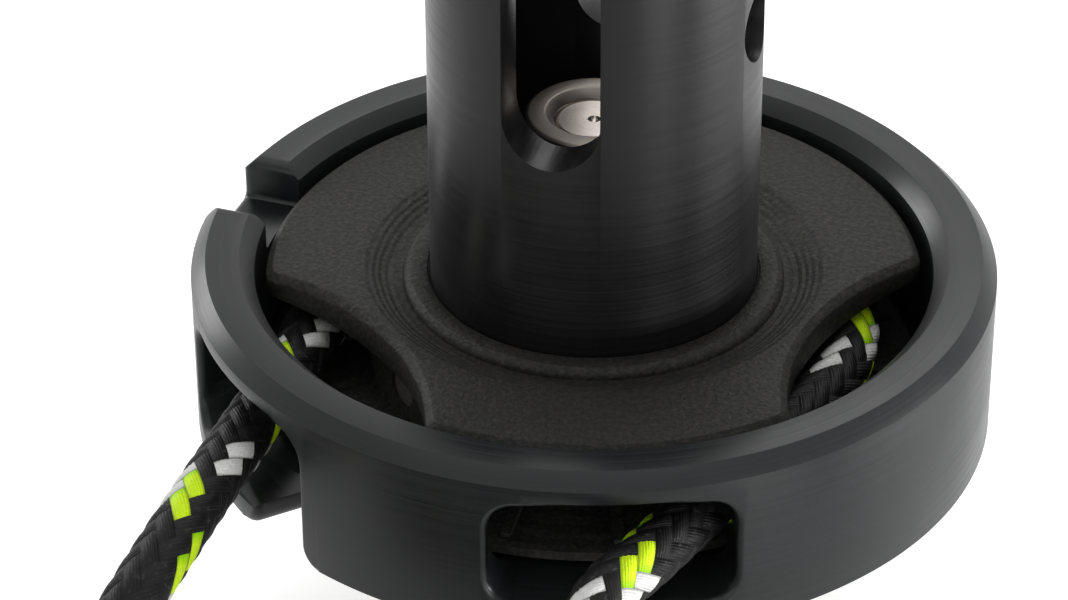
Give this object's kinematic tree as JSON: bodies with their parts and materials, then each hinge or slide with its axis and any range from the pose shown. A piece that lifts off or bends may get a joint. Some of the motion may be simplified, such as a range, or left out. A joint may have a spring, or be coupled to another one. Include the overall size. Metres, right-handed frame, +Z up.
{
  "type": "roller furler drum",
  "caption": "Furling drum with a scalloped grip cheek on a forked tube, turning on balls in a windowed line cage above a clevis, with an endless line led in and out.",
  "frame": {"origin": "centre of the lower clevis bore", "axes": "+Z up along the spindle and the stay, +X along both clevis bores, -Y towards the fork slot's front"},
  "size_m": [0.0846, 0.1626, 0.0708],
  "materials": {
    "anodised": "black anodised, satin",
    "nylon": "grained, matte",
    "stainless": "turned",
    "acetal": "turned",
    "bronze": "stamped",
    "line_cover": "plaited, with light flecks",
    "strap": "woven"
  },
  "bodies": {
    "frame": {"line_cage": "anodised", "cage_screws": "stainless", "lower_fork": "stainless", "spindle": "stainless", "spindle_pin": "stainless", "spindle_nut": "stainless", "nut_lock_pin": "stainless", "upper_race": "stainless", "line_wrap": "line_cover", "line_left_leg": "line_cover", "line_right_leg": "line_cover", "line_coil": "line_cover", "coil_tie": "strap"},
    "drum": {"drum_tube": "anodised", "upper_cheek": "nylon", "grip_core": "nylon", "lower_cheek": "nylon", "cheek_screws": "stainless", "grub_screws": "stainless", "lower_race": "stainless", "spindle_bush": "acetal"},
    "balls": {"bearing_balls": "stainless", "ball_retainer": "bronze"}
  },
  "joints": [
    {"name": "drum_spin", "type": "hinge", "parent": "frame", "child": "drum", "pos_m": [0, 0, 0.02335], "axis": [0, 0, 1], "continuous": true},
    {"name": "ball_orbit", "type": "hinge", "parent": "frame", "child": "balls", "pos_m": [0, 0, 0.0313], "axis": [0, 0, 1], "continuous": true}
  ],
  "couplings": [
    {"joint": "ball_orbit", "follows": "drum_spin", "ratio": 0.5}
  ]
}
